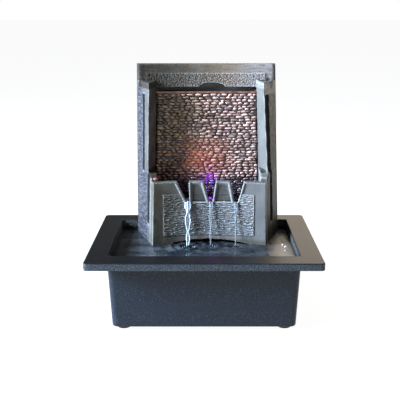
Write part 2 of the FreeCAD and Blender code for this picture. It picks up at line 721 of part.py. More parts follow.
save("lamp_gasket", make_lamp_gasket())
save("lamp_lens", make_lamp_lens())
save("lamp_board", make_lamp_board())
save("lamp_leds", *make_lamp_leds())
save("lamp_gland", make_lamp_gland())
save("lamp_lead", make_lamp_lead())
save("lamp_connector", make_lamp_connector())
save("connector_clip", make_connector_clip())
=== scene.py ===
import math
import random

import bpy
import numpy as np
from mathutils import Matrix, Vector, noise


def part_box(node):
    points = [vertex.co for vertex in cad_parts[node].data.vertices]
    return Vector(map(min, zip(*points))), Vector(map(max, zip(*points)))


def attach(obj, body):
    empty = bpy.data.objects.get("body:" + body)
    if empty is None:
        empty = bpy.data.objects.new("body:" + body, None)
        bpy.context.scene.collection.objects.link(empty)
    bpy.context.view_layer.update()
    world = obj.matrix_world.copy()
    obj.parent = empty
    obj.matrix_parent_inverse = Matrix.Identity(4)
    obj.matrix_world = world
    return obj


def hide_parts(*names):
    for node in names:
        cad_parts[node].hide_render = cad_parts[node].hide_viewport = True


# A tabletop fountain: a dark moulded basin, a slate-look tower that lifts out of it, and the
# water that runs down the tower's stone panel, over its weir and back into the basin.
# Everything is in metres, with +Y to the back and +Z up.
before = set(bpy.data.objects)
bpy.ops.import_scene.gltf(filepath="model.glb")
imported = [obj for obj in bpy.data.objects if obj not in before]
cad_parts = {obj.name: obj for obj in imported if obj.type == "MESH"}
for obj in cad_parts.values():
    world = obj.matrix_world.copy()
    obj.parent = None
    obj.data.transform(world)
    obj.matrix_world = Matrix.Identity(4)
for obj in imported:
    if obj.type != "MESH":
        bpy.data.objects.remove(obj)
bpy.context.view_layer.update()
scene = bpy.context.scene
bpy.ops.object.select_all(action="DESELECT")

# ------------------------------------------------------------------ camera
# Standing in front of the fountain at a person's seated eye height, looking a little down.
camera_data = bpy.data.cameras.new("camera")
camera_data.lens = 63.3
camera_data.sensor_width = 36.0
camera_data.shift_x = -0.01025
camera = bpy.data.objects.new("camera", camera_data)
camera.location = (0.0, -0.6873, 0.2974)
camera.rotation_euler = (math.radians(90 - 14.8), 0, 0)
scene.collection.objects.link(camera)
scene.camera = camera

# ------------------------------------------------------------------ basin
# Injection-moulded tray in charcoal plastic with a fine pebbled grain. Its flat rim picks up
# the light. The grain on the turned-down lip is painted paler: partly coarser pale specks, and
# partly a painted highlight where the rounded lip catches the light.


class Value:
    """A number that varies over a surface. Arithmetic on it adds Math nodes."""

    def __init__(self, finish, socket):
        self.finish = finish
        self.socket = socket

    def math(self, operation, *values):
        return self.finish.node("ShaderNodeMath", {"operation": operation},
                                dict(enumerate(values)))

    def __add__(self, other):
        return self.math("ADD", self, other)

    def __sub__(self, other):
        return self.math("SUBTRACT", self, other)

    def __rsub__(self, other):
        return self.math("SUBTRACT", other, self)

    def __mul__(self, other):
        return self.math("MULTIPLY", self, other)

    __radd__ = __add__
    __rmul__ = __mul__

    def between(self, low, high):
        """0 below low, 1 above high, and a smooth step in between."""
        settings = {"interpolation_type": "SMOOTHSTEP"}
        return self.finish.node("ShaderNodeMapRange", settings,
                                {"Value": self, "From Min": low, "From Max": high})


class Finish:
    """One material: its shader's own values, and the nodes that vary over the surface."""

    def __init__(self, name, **shader):
        self.material = bpy.data.materials.new(name)
        self.material.use_nodes = True
        self.tree = self.material.node_tree
        self.shader = self.tree.nodes["Principled BSDF"]
        for socket, value in shader.items():
            title = socket.replace("_", " ").title().replace("Ior", "IOR")
            self.shader.inputs[title].default_value = value
        self.here = self.node("ShaderNodeTexCoord", {}, {}, "Object")

    def node(self, kind, settings, inputs, output=0):
        made = self.tree.nodes.new(kind)
        for name, value in settings.items():
            setattr(made, name, value)
        for name, value in inputs.items():
            if isinstance(value, Value):
                self.tree.links.new(value.socket, made.inputs[name])
            else:
                made.inputs[name].default_value = value
        return Value(self, made.outputs[output])

    def stretched(self, x=1.0, y=1.0, z=1.0):
        return self.node("ShaderNodeMapping", {}, {"Vector": self.here, "Scale": (x, y, z)})

    def along(self, axis):
        """The object's own coordinate along axis 0, 1 or 2, in metres."""
        return self.node("ShaderNodeSeparateXYZ", {}, {"Vector": self.here}, axis)

    def noise(self, size, detail=3.0, roughness=0.55, place=None):
        """Cloudy noise whose features are about size metres across."""
        return self.node("ShaderNodeTexNoise", {},
                         {"Vector": place or self.here, "Scale": 1 / size, "Detail": detail,
                          "Roughness": roughness})

    def cells(self, size):
        return self.node("ShaderNodeTexVoronoi", {}, {"Vector": self.here, "Scale": 1 / size})

    def attribute(self, name):
        return self.node("ShaderNodeAttribute", {"attribute_name": name}, {}, "Fac")

    def mix(self, share, first, second):
        """Colour first where share is 0 and second where it is 1."""
        return self.node("ShaderNodeMix", {"data_type": "RGBA"}, {0: share, 6: first, 7: second}, 2)

    def set(self, socket, value):
        self.tree.links.new(value.socket, self.shader.inputs[socket])

    def raise_by(self, height, distance, strength=1.0):
        """Bumps the surface by height times distance, in metres."""
        self.set("Normal", self.node("ShaderNodeBump", {},
                                     {"Height": height, "Distance": distance, "Strength": strength}))


def rgb(red, green, blue):
    return (red, green, blue, 1.0)


def paint(piece, finish):
    piece.data.materials.clear()
    piece.data.materials.append(finish.material)


BASIN_BLACK = rgb(0.006, 0.011, 0.020)
BASIN_GREY = rgb(0.032, 0.052, 0.078)
LIP_SPECKS_AND_HIGHLIGHT = rgb(0.105, 0.120, 0.125)
RIM_BLACK = rgb(0.0022, 0.0021, 0.0020)


def basin_plastic(name):
    finish = Finish(name, specular_ior_level=0.3)
    across, depth, height = (finish.along(axis) for axis in range(3))
    inside = (height.between(0.0640, 0.0650)
              * depth.between(-0.0605, -0.0602) * (1 - depth.between(0.0628, 0.0631))
              * across.between(-0.0915, -0.0912) * (1 - across.between(0.0912, 0.0915)))
    rim_flat = height.between(0.0763, 0.0767)
    lip = height.between(0.0696, 0.0702) * (1 - height.between(0.0758, 0.0764))
    # Pale specks on the lip: coarser grain, and partly a painted highlight on the rounded lip.
    pale_marks_and_highlight = finish.noise(0.0012, 3.0, 0.7).between(0.42, 0.70) * lip
    grain = finish.noise(0.0011, 3.0, 0.7)
    base = finish.mix(grain.between(0.50, 0.70) * 0.8, BASIN_BLACK, BASIN_GREY)
    for share in (rim_flat, inside):
        base = finish.mix(share, base, RIM_BLACK)
    finish.set("Base Color", finish.mix(pale_marks_and_highlight * 0.9, base, LIP_SPECKS_AND_HIGHLIGHT))
    finish.set("Roughness", 0.38 + 0.15 * grain + 0.45 * inside)
    finish.raise_by(grain + pale_marks_and_highlight, 0.00012)
    return finish


paint(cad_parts["basin"], basin_plastic("basin_plastic"))

# ------------------------------------------------------------------ feet and tower pads
# Round rubber feet glued under the basin, and the soft pads that the tower stands on. They are
# plain black rubber with a dull, slightly dusty skin.


def rubber(name, dark=rgb(0.010, 0.010, 0.011), pale=rgb(0.03, 0.03, 0.032)):
    finish = Finish(name, roughness=0.75)
    dust = finish.noise(0.004, 4.0)
    finish.set("Base Color", finish.mix(dust.between(0.4, 0.8), dark, pale))
    finish.set("Roughness", 0.62 + 0.25 * dust)
    finish.raise_by(finish.noise(0.0006, 2.0), 0.00003)
    return finish


foot_rubber = rubber("foot_rubber")
for node in ("rubber_feet", "tower_pads"):
    paint(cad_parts[node], foot_rubber)

# ------------------------------------------------------------------ tower shell
# The tower's front moulding in slate-look resin: two wedge-shaped wings and the header between
# them. It is cast in one, then dry-brushed so that its ridges are pale and its hollows dark.
# The light from the left and the shade it leaves are also painted into its colour.
SLATE_GRID = 0.00115
CHISEL_DEPTH = 0.00026
RIB_DEPTH = 0.0004
LEDGE = 0.139
GROOVE_DEPTH = 0.0017
GROOVE_FOOT = 0.085
LEFT_UPPER_GROOVE = (0.0350, 0.0031)
LEFT_LOWER_GROOVE = (0.0190, 0.0031)
RIGHT_GROOVE = (0.0280, 0.0052)

shell_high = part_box("tower_shell")[1]
groove_head = shell_high.z - 0.029
panel_low, panel_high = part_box("cascade_panel")
weir_low, weir_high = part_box("weir_wall")


def pick(piece):
    bpy.ops.object.select_all(action="DESELECT")
    piece.select_set(True)
    bpy.context.view_layer.objects.active = piece


def copy_of(node, name):
    """A new piece with a CAD node's shape, its loose triangles merged into one skin."""
    piece = bpy.data.objects.new(name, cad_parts[node].data.copy())
    scene.collection.objects.link(piece)
    pick(piece)
    bpy.ops.object.mode_set(mode="EDIT")
    bpy.ops.mesh.select_all(action="SELECT")
    bpy.ops.mesh.remove_doubles(threshold=0.000002)
    bpy.ops.object.mode_set(mode="OBJECT")
    return piece


def add_modifier(piece, kind, **settings):
    modifier = piece.modifiers.new(kind.lower(), kind)
    for name, value in settings.items():
        setattr(modifier, name, value)
    pick(piece)
    bpy.ops.object.modifier_apply(modifier=modifier.name)


def cast(piece, grid, softness=2):
    """Gives a piece an even skin with the slightly soft edges of a casting."""
    add_modifier(piece, "REMESH", mode="VOXEL", voxel_size=grid, adaptivity=0.0,
                 use_smooth_shade=True)
    add_modifier(piece, "SMOOTH", factor=0.5, iterations=softness)


def points_of(piece):
    flat = np.zeros(len(piece.data.vertices) * 3)
    piece.data.vertices.foreach_get("co", flat)
    return flat.reshape(-1, 3)


def normals_of(piece):
    flat = np.zeros(len(piece.data.vertices) * 3)
    piece.data.vertices.foreach_get("normal", flat)
    return flat.reshape(-1, 3)


def carve(piece, relief):
    """Moves every point along its normal by relief(point, normal), in metres."""
    points = points_of(piece)
    normals = normals_of(piece)
    moves = np.array([relief(Vector(p), Vector(n)) for p, n in zip(points, normals)])
    piece.data.vertices.foreach_set("co", (points + normals * moves[:, None]).ravel())
    piece.data.update()


def store(piece, name, values):
    """Keeps one value for each of the piece's points as an attribute."""
    piece.data.attributes.new(name, "FLOAT", "POINT").data.foreach_set("value", values)


def mark_wear(piece, reach=3, full=0.00022):
    """Stores how proud (1) or sunk (0) each point stands of its neighbours, as attribute wear."""
    points = points_of(piece)
    normals = normals_of(piece)
    ends = np.zeros(len(piece.data.edges) * 2, np.int64)
    piece.data.edges.foreach_get("vertices", ends)
    ends = ends.reshape(-1, 2)
    count = np.bincount(ends.ravel(), minlength=len(points))[:, None]
    smooth = points.copy()
    for _ in range(reach):
        total = np.zeros_like(smooth)
        np.add.at(total, ends[:, 0], smooth[ends[:, 1]])
        np.add.at(total, ends[:, 1], smooth[ends[:, 0]])
        smooth = total / np.maximum(count, 1)
    proud = ((points - smooth) * normals).sum(1)
    store(piece, "wear", np.clip(0.5 + 0.5 * proud / full, 0, 1))


def rough(point, size, octaves=4):
    return noise.fractal(point / size, 0.9, 2.1, octaves)


def chisel(point, normal):
    """Low facets and scratches of roughly split slate."""
    facets = rough(point, 0.014, 3)
    scratches = noise.noise(Vector((point.x / 0.012, point.y / 0.012, point.z / 0.0022)))
    return CHISEL_DEPTH * (0.7 * facets + 0.35 * scratches) - 0.3 * CHISEL_DEPTH


def groove_place(x, z):
    """The groove's middle and half width on a wing's outer face, along y."""
    if x > 0:
        return RIGHT_GROOVE
    return LEFT_UPPER_GROOVE if z > LEDGE else LEFT_LOWER_GROOVE


def shell_relief(point, normal):
    move = chisel(point, normal)
    if normal.x * point.x > 0 and abs(normal.x) > 0.6 and point.z < groove_head:
        middle, half = groove_place(point.x, point.z)
        if abs(point.y - middle) < half and point.z > GROOVE_FOOT:
            move -= GROOVE_DEPTH
        elif point.y > middle:
            ribs = noise.noise(Vector((point.x / 0.01, point.y / 0.008, point.z / 0.0028)))
            move += RIB_DEPTH * (ribs - 0.4)
    return move


def mark_flanks(piece):
    """Stores attributes: flank on the wings' outer faces, groove in them, and a ledge mask: a damp
    brown stain on the left wing's ledge and painted shade on the inner faces beside it.
    """
    x, y, z = points_of(piece).T
    normal_x, _, normal_z = normals_of(piece).T
    top = shell_high.z - np.where(x > 0, 0.029, 0.019)
    store(piece, "flank", ((normal_x * x > 0) & (np.abs(normal_x) > 0.6) & (z < top)) * 1.0)
    middle, half = np.array([groove_place(*place) for place in zip(x, z)]).T
    groove = (np.abs(x) > 0.05) & (normal_x * np.sign(x) > -0.3)
    groove &= (np.abs(y - middle) < half + 0.0008) & (z > GROOVE_FOOT) & (z < groove_head)
    store(piece, "groove", groove * 1.0)
    # The ledge mask: a damp brown stain on the ledge's top, and painted shade on the faces that turn
    # to the right.
    wet_and_shade = (x < -0.0435) & (x > -0.0585) & (y > 0.0115) & (y < 0.046) & (z > 0.130) & (z < 0.1425)
    store(piece, "wet_and_shade", (wet_and_shade & ((normal_z > 0.2) | (normal_x > 0.3))) * 1.0)


tower_slate = copy_of("tower_shell", "tower_slate")
cast(tower_slate, SLATE_GRID)
carve(tower_slate, shell_relief)
mark_wear(tower_slate)
mark_flanks(tower_slate)


SLATE_DARK = rgb(0.048, 0.045, 0.033)
SLATE_PALE = rgb(0.084, 0.080, 0.066)
SLATE_RUST = rgb(0.085, 0.056, 0.033)
SLATE_HOLLOWS_DARK = rgb(0.009, 0.008, 0.007)
FLANK_LIT_BLUE = rgb(0.052, 0.060, 0.090)
FLANK_SHADE = rgb(0.016, 0.015, 0.010)
HATCH_BLACK = rgb(0.012, 0.012, 0.014)
GROOVE_SHADE = rgb(0.008, 0.008, 0.008)
HEADER_SHADE = rgb(0.012, 0.010, 0.006)
HEADER_LIT_TAN = rgb(0.19, 0.135, 0.095)
HEADER_LIT_PALE = rgb(0.20, 0.19, 0.185)
HEADER_STREAKS = rgb(0.060, 0.034, 0.022)
FOOT_TAN = rgb(0.21, 0.155, 0.115)
WEIR_LIT_PALE = rgb(0.17, 0.18, 0.20)
NICHE_SHADE = rgb(0.018, 0.017, 0.012)
EDGE_LIT_BLUE = rgb(0.10, 0.11, 0.135)
JAMB_LIT_PALE = rgb(0.19, 0.20, 0.21)
BRUSHED = rgb(0.24, 0.255, 0.265)
BRUSHED_FLANK = rgb(0.20, 0.21, 0.235)
GLINTS = rgb(0.48, 0.52, 0.60)
LEDGE_WET_AND_SHADE = rgb(0.022, 0.013, 0.008)


def cast_colour(finish):
    """The resin's own colour, cloudy and here and there rusty."""
    clouds = finish.noise(0.022, 4.0)
    rust = finish.noise(0.035, 3.0, place=finish.stretched(1.0, 1.0, 0.6))
    base = finish.mix(clouds.between(0.35, 0.65), SLATE_DARK, SLATE_PALE)
    return finish.mix(rust.between(0.50, 0.72) * 0.5, base, SLATE_RUST)


def hatched_share(finish, flank, right):
    """1 on a flank behind its groove, where the slate is hatched."""
    upper = finish.along(2).between(LEDGE - 0.0005, LEDGE + 0.0005)
    middle = LEFT_LOWER_GROOVE[0] + (LEFT_UPPER_GROOVE[0] - LEFT_LOWER_GROOVE[0]) * upper
    middle = middle + right * (RIGHT_GROOVE[0] - middle)
    half = LEFT_LOWER_GROOVE[1] + (RIGHT_GROOVE[1] - LEFT_LOWER_GROOVE[1]) * right
    return (finish.along(1) - middle - half).between(-0.0002, 0.0002) * flank


def tint_flanks(finish, base, flank, right, hatched, hatch):
    """Painted light, blue-grey, on the left flank and painted shade, nearly black, on the right, both
    with dark hatching.
    """
    # Painted light: blue-grey on the left flank, which faces the cool light.
    base = finish.mix(flank * (1 - right) * (0.30 + 0.45 * hatched), base, FLANK_LIT_BLUE)
    base = finish.mix(hatch.between(0.42, 0.56) * hatched * 0.92, base, HATCH_BLACK)
    # Painted shade: nearly black on the right flank.
    return finish.mix(right * flank * 0.92, base, FLANK_SHADE)


def tint_header(finish, base, header, shaded):
    """Painted shade at the left, painted light, tan in the middle and pale at the right, and dark
    streaks in long brush strokes.
    """
    across = finish.along(0)
    streaks = finish.noise(0.0016, 3.0, place=finish.stretched(0.06, 1.0, 1.0))
    base = finish.mix(shaded * 0.95, base, HEADER_SHADE)
    # Painted light: tan, then pale towards the right, where the header faces the light.
    lit_tan_to_pale = finish.mix(across.between(0.015, 0.055), HEADER_LIT_TAN, HEADER_LIT_PALE)
    base = finish.mix(header * across.between(-0.030, 0.060) * 0.9, base, lit_tan_to_pale)
    return finish.mix(streaks.between(0.46, 0.66) * header * 0.55, base, HEADER_STREAKS)


def tint_front(finish, base, front, header):
    """The weir and its foot, the left wing's front edge and the right wing's. The foot is painted tan,
    and painted light brightens the weir's right part, the left front edge and the right jamb.
    """
    across = finish.along(0)
    height = finish.along(2)
    foot = height.between(0.0705, 0.0715) * (1 - height.between(0.0752, 0.0760)) * front
    foot = foot * across.between(-0.020, 0.0) * (1 - across.between(0.028, 0.042))
    base = finish.mix(foot * 0.6, base, FOOT_TAN)
    # Painted light on the weir's right part.
    weir = height.between(0.068, 0.073) * (1 - height.between(0.1315, 0.1325)) * front
    base = finish.mix(weir * across.between(-0.045, 0.0) * 0.42, base, WEIR_LIT_PALE)
    # Painted light on the left wing's front edge.
    edge = (1 - across.between(-0.0600, -0.0575)) * front * (1 - header)
    base = finish.mix(edge * 0.6, base, EDGE_LIT_BLUE)
    # Painted light on the right wing's jamb.
    jamb = across.between(0.040, 0.046) * height.between(0.131, 0.140) * front * (1 - header)
    return finish.mix(jamb * 0.35, base, JAMB_LIT_PALE)


def slate(name):
    finish = Finish(name, specular_ior_level=0.28)
    across, depth, height = (finish.along(axis) for axis in range(3))
    wear, flank, groove, plate, niche, wet_and_shade = (
        finish.attribute(kind) for kind in ("wear", "flank", "groove", "plate", "niche", "wet_and_shade"))
    right = across.between(-0.001, 0.001)
    header = height.between(0.2240, 0.2255) * (1 - depth.between(0.050, 0.052))
    shaded = header * (1 - across.between(-0.070, 0.015))
    hatched = hatched_share(finish, flank, right)
    hatch = finish.noise(0.0014, 2.0, place=finish.stretched(0.3, 0.13, 1.0))
    grain = finish.noise(0.0016, 4.0, 0.65)
    base = tint_flanks(finish, cast_colour(finish), flank, right, hatched, hatch)
    base = tint_header(finish, base, header, shaded)
    base = tint_front(finish, base, 1 - flank, header)
    brushed = wear.between(0.66, 1.0) * (0.1 + 0.8 * grain) * (1 - height.between(0.2425, 0.245))
    # The brushing fades where shade is painted, on the header's left and on the right flank. On the
    # flanks it is a bluer grey, to go with the left flank's painted light.
    brushed = brushed * (1 - 0.97 * shaded) * (1 - 0.5 * right * flank)
    base = finish.mix(brushed, base, finish.mix(flank, BRUSHED, BRUSHED_FLANK))
    # Painted glints: pale blue-white on the plates' proud points towards the right.
    glints = wear.between(0.66, 0.95) * plate * across.between(-0.045, 0.020)
    base = finish.mix(glints * (1 - shaded) * (1 - 0.6 * header) * 0.42, base, GLINTS)
    # Darker in the hollows.
    base = finish.mix(0.9 - 0.9 * wear.between(0.05, 0.40), base, SLATE_HOLLOWS_DARK)
    # Painted shade in the niches and in the groove, and on the left wing's ledge a brown stain with
    # painted shade on the inner faces beside it.
    for share, colour in ((niche * 0.55, NICHE_SHADE), (groove, GROOVE_SHADE), (wet_and_shade, LEDGE_WET_AND_SHADE)):
        base = finish.mix(share, base, colour)
    finish.set("Base Color", base)
    finish.set("Roughness", 0.38 + 0.3 * grain + 0.3 * shaded + 0.55 * groove)
    finish.raise_by(grain + hatch * hatched, 0.00025)
    return finish


slate_finish = slate("slate_resin")
paint(tower_slate, slate_finish)
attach(tower_slate, "tower")
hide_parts("tower_shell")

# ------------------------------------------------------------------ header's pebbled panel
# A raised plate on the header, hammered all over in small pebbles. Its foot follows the shallow
# arch over the middle of the outflow, and its hollow front follows the header's curve.
HOLLOW_X = 0.0051
PEBBLE = 0.0019
PEBBLE_DEPTH = 0.00042


def hollow(x, radius, centre_y):
    """Where a hollow curved front stands at x."""
    return centre_y + math.sqrt(radius ** 2 - (x - HOLLOW_X) ** 2)


def header_front(x):
    return hollow(x, 0.4814, -0.4354) - 0.0007


def outflow_arch(x):
    """The height of the pebbled plate's foot."""
    away = (x - 0.0082) / 0.0134
    return shell_high.z - 0.0228 + 0.0042 * math.sqrt(max(0.0, 1 - away ** 2))


def pebbles(x, z):
    near = noise.voronoi(Vector((x / PEBBLE, 4.2, z / PEBBLE)))[0][0]
    return PEBBLE_DEPTH * (0.9 - 1.5 * near ** 2) + 0.00012 * rough(Vector((x, 0, z)), 0.0012, 3)


def add_plate(name, left, right, foot, top, front, relief, step):
    """A closed plate 1.1 mm thick with a worked front, its long edges eased over half a millimetre."""
    columns = int((right - left) / step)
    rows = int((top(left) - foot(left)) / step)
    bpy.ops.mesh.primitive_grid_add(x_subdivisions=columns, y_subdivisions=rows, size=1)
    piece = bpy.context.active_object
    piece.name = name
    for vertex in piece.data.vertices:
        x = left + (right - left) * (vertex.co.x + 0.5)
        low = foot(x)
        high = top(x)
        z = low + (high - low) * (vertex.co.y + 0.5)
        edge = min(x - left, right - x, z - low, high - z)
        eased = min(1.0, edge / 0.0005)
        vertex.co = (x, front(x) - eased * relief(x, z), z)
    add_modifier(piece, "SOLIDIFY", thickness=0.0011, offset=-1.0)
    bpy.ops.object.shade_smooth_by_angle(angle=math.radians(60))
    mark_wear(piece, 2, 0.00007)
    store(piece, "plate", [1.0] * len(piece.data.vertices))
    paint(piece, slate_finish)
    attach(piece, "tower")


add_plate("pebbled_panel", -0.0591, 0.0626, outflow_arch, lambda x: shell_high.z - 0.0090,
          header_front, pebbles, 0.00045)

# ------------------------------------------------------------------ weir wall
# The curved front wall of the upper pool, cast in the same resin. Two arched niches are sunk
# between its three notches, a raised panel of fine ripples crosses its face, and rounded lips
# worn pale by the brush run down both sides of every notch.
WEIR_GRID = 0.0008
RIPPLE_PITCH = 0.0022
RIPPLE_DEPTH = 0.00052
NICHE_DEPTH = 0.0006
PANEL_PROUD = 0.0006
PANEL_TOP = 0.1190
NICHES = ((-0.0142, -0.0144, 0.0020, -0.0030), (0.0105, 0.0132, 0.0285, 0.0250))
NOTCHES = (((-0.0284, -0.0182), (-0.0153, -0.0149)),
           ((-0.0015, 0.0049), (0.0123, 0.0091)),
           ((0.0265, 0.0306), (0.0411, 0.0351)))
NOTCH_HIGH = 0.133
NOTCH_LOW = 0.1105
NOTCH_TIP = 0.1095


def in_a_niche(point):
    """How far in (0 to 1) a point lies in the arched niches between the notches."""
    share = (point.z - 0.119) / 0.011
    deepest = 0.0
    for low_left, high_left, low_right, high_right in NICHES:
        left = low_left + share * (high_left - low_left)
        right = low_right + share * (high_right - low_right)
        half = (right - left) / 2
        if point.z < NOTCH_TIP + 0.0015:
            continue
        across = (point.x - (left + right) / 2) / half
        arch = 0.1308 - 0.0040 * across ** 2 - point.z
        deepest = max(deepest, min(1.0, (1 - abs(across)) * half / 0.0035, arch / 0.0030))
    return deepest


def weir_relief(point, normal):
    move = 0.7 * chisel(point, normal)
    if normal.y < -0.5:
        proud = PANEL_PROUD if point.z < PANEL_TOP else 0.0
        move -= (NICHE_DEPTH + proud) * in_a_niche(point)
    return move


def weir_front(x):
    return hollow(x, 0.2216, -0.2096)


def rippled_front(x):
    return weir_front(x) - 0.0007


def rippled_top(x):
    """The rippled plate's top edge, which dips under each notch."""
    top = PANEL_TOP
    if NOTCHES[0][1][1] < x < NOTCHES[1][0][1] or NOTCHES[1][1][1] < x < NOTCHES[2][0][1]:
        top = NOTCH_TIP + 0.0012
    for (high_left, low_left), (high_right, low_right) in NOTCHES:
        slope_left = (high_left - low_left) / (NOTCH_HIGH - NOTCH_LOW)
        slope_right = (high_right - low_right) / (NOTCH_HIGH - NOTCH_LOW)
        if low_left + slope_left * (top - NOTCH_LOW) < x < low_left:
            return NOTCH_LOW + (x - low_left) / slope_left - 0.0004
        if low_left <= x <= low_right:
            return NOTCH_TIP - 0.0004
        if low_right < x < low_right + slope_right * (top - NOTCH_LOW):
            return NOTCH_LOW + (x - low_right) / slope_right - 0.0004
    return top


def ripples(x, z):
    sway = noise.noise(Vector((x / 0.007, 0, z / 0.006)))
    wave = math.sin(math.tau * z / RIPPLE_PITCH + 4.5 * sway)
    broken = noise.noise(Vector((x / 0.0042, 3, z / 0.0015)))
    drops = noise.noise(Vector((x / 0.0011, 7, z / 0.0010)))
    return RIPPLE_DEPTH * (0.20 * wave + 1.3 * broken + 0.45 * drops)


weir_slate = copy_of("weir_wall", "weir_slate")
cast(weir_slate, WEIR_GRID)
carve(weir_slate, weir_relief)
mark_wear(weir_slate, full=0.00018)
store(weir_slate, "niche", [in_a_niche(Vector(point)) for point in points_of(weir_slate)])
paint(weir_slate, slate_finish)
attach(weir_slate, "tower")
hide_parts("weir_wall")
add_plate("rippled_panel", -0.0416, 0.0508, lambda x: 0.0759, rippled_top, rippled_front,
          ripples, 0.00042)


def join(pieces, name):
    pick(pieces[0])
    for piece in pieces[1:]:
        piece.select_set(True)
    bpy.ops.object.join()
    pieces[0].name = name
    return pieces[0]


def add_tube(name, places, radii, sides=3):
    """A closed tube through places, as thick at each as its radius says."""
    bpy.ops.curve.primitive_nurbs_path_add()
    path = bpy.context.active_object
    spline = path.data.splines[0]
    spline.points.add(len(places) - len(spline.points))
    for point, place, radius in zip(spline.points, places, radii):
        point.co = (*place, 1.0)
        point.radius = radius
    spline.order_u = 3
    spline.use_endpoint_u = True
    path.data.bevel_depth = 1.0
    path.data.bevel_resolution = sides
    path.data.use_fill_caps = True
    path.data.resolution_u = 3
    bpy.ops.object.convert(target="MESH")
    piece = bpy.context.active_object
    piece.name = name
    bpy.ops.object.mode_set(mode="EDIT")
    bpy.ops.mesh.select_all(action="SELECT")
    bpy.ops.mesh.normals_make_consistent(inside=False)
    bpy.ops.object.mode_set(mode="OBJECT")
    pick(piece)
    bpy.ops.object.shade_smooth()
    return piece


LIP_LEFT = 0.0017
LIP_RIGHT = 0.0011
LIP_TOP = 0.1312
lips = []
for (high_left, low_left), (high_right, low_right) in NOTCHES:
    places = []
    radii = []
    rise = (LIP_TOP - NOTCH_LOW) / (NOTCH_HIGH - NOTCH_LOW)
    for i in range(25):
        up = 1 - i / 24
        x = low_left + up * rise * (high_left - low_left) - 0.6 * LIP_LEFT
        places.append((x, weir_front(x), NOTCH_LOW + up * (LIP_TOP - NOTCH_LOW)))
        radii.append(LIP_LEFT * (1 + 0.18 * noise.noise(Vector((x / 0.002, 0, up * 9)))))
    middle = (low_left + low_right) / 2
    places.append((middle, weir_front(middle), NOTCH_TIP - 0.0004))
    radii.append(LIP_RIGHT)
    for i in range(25):
        up = i / 24
        x = low_right + up * rise * (high_right - low_right) + 0.6 * LIP_RIGHT
        places.append((x, weir_front(x), NOTCH_LOW + up * (LIP_TOP - NOTCH_LOW)))
        radii.append(LIP_RIGHT * (1 + 0.25 * noise.noise(Vector((x / 0.002, 2, up * 9)))))
    lips.append(add_tube("lip", places, radii))
notch_lips = join(lips, "notch_lips")
mark_wear(notch_lips)
paint(notch_lips, slate_finish)
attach(notch_lips, "tower")

# ------------------------------------------------------------------ stacked-stone panel
# The back of the cascade: thin stones laid in courses on a slab, cast in one and painted copper
# brown. Water keeps them wet, so their edges glint. The joints between them are dark, and light
# and shade are painted on the stones as well: olive and darker on the left, which the left wing
# shades, rosy on the lit right, pale crowns that are partly a painted highlight, shaded undersides,
# the lamp's orange glow, and darker towards the foot. A small wet lump of the same brown lies on
# the left wing's ledge.
COURSE = 0.0029
STONE_BACK = panel_low.y + 0.0016
SLAB_INSET = 0.0045
random.seed(11)
noise.seed_set(3)

bpy.ops.object.select_all(action="DESELECT")
bpy.ops.mesh.primitive_cube_add(size=1)
stone_slab = bpy.context.active_object
stone_slab.name = "stone_slab"
slab_low = Vector((panel_low.x + SLAB_INSET, panel_low.y + 0.0012, panel_low.z))
slab_high = Vector((panel_high.x - SLAB_INSET, panel_high.y, panel_high.z))
stone_slab.data.transform(Matrix.Translation((slab_low + slab_high) / 2)
                          @ Matrix.Diagonal((*(slab_high - slab_low), 1)))
add_modifier(stone_slab, "BEVEL", width=0.0003, segments=2)

bpy.ops.mesh.primitive_uv_sphere_add(segments=12, ring_count=8, radius=0.5)
stone = bpy.context.active_object
for vertex in stone.data.vertices:
    vertex.co = [math.copysign(abs(2 * c) ** 0.82, c) / 2 for c in vertex.co]


def one_stone(left, right, low, high):
    piece = bpy.data.objects.new("stone", stone.data.copy())
    scene.collection.objects.link(piece)
    depth = 2 * random.uniform(0.0018, 0.0036)
    tall = (high - low) * random.uniform(0.80, 1.15)
    size = Matrix.Diagonal((1.08 * (right - left), depth, tall, 1))
    turn = Matrix.Rotation(random.uniform(-0.12, 0.12), 4, "Y")
    lean = Matrix.Rotation(random.uniform(-0.2, 0.2), 4, "Z")
    tip = Matrix.Rotation(-random.uniform(0.0, 0.4), 4, "X")
    middle = ((left + right) / 2, STONE_BACK, (low + high) / 2)
    piece.data.transform(Matrix.Translation(middle) @ turn @ lean @ tip @ size)
    for vertex in piece.data.vertices:
        vertex.co += 0.00065 * noise.noise_vector(vertex.co / 0.0023)
    store(piece, "tone", [random.random()] * len(piece.data.vertices))
    # crown: how far each point of a stone faces up and forwards. It places the painted highlight on
    # top and the painted shade beneath.
    store(piece, "crown", [max(0.0, 0.9 * v.co.z - 1.5 * v.co.y) for v in stone.data.vertices])
    return piece


def panel_sides(z):
    """The panel's left and right edges narrow a little towards the top."""
    share = (z - panel_low.z) / (panel_high.z - panel_low.z)
    return panel_low.x + 0.0037 * share + 0.0006, panel_high.x - 0.0046 * share - 0.0006


stones = []
course_low = panel_low.z + 0.0004
while course_low < panel_high.z - 0.0022:
    height = COURSE * random.uniform(0.86, 1.12)
    left_side, right_side = panel_sides(course_low)
    left = left_side
    while left < right_side - 0.002:
        width = random.uniform(0.0038, 0.0092)
        right = min(left + width, right_side)
        lift = random.uniform(-0.00045, 0.00045)
        stones.append(one_stone(left - 0.0001, right, course_low + lift,
                                course_low + 1.08 * height + lift))
        left = right
    course_low += height
bpy.data.objects.remove(stone)
stone_courses = join(stones, "stone_courses")
bpy.ops.object.shade_smooth()


COPPER_DARK = rgb(0.10, 0.035, 0.018)
COPPER_PALE = rgb(0.30, 0.12, 0.07)
TROUGH_SHADE = rgb(0.030, 0.033, 0.034)


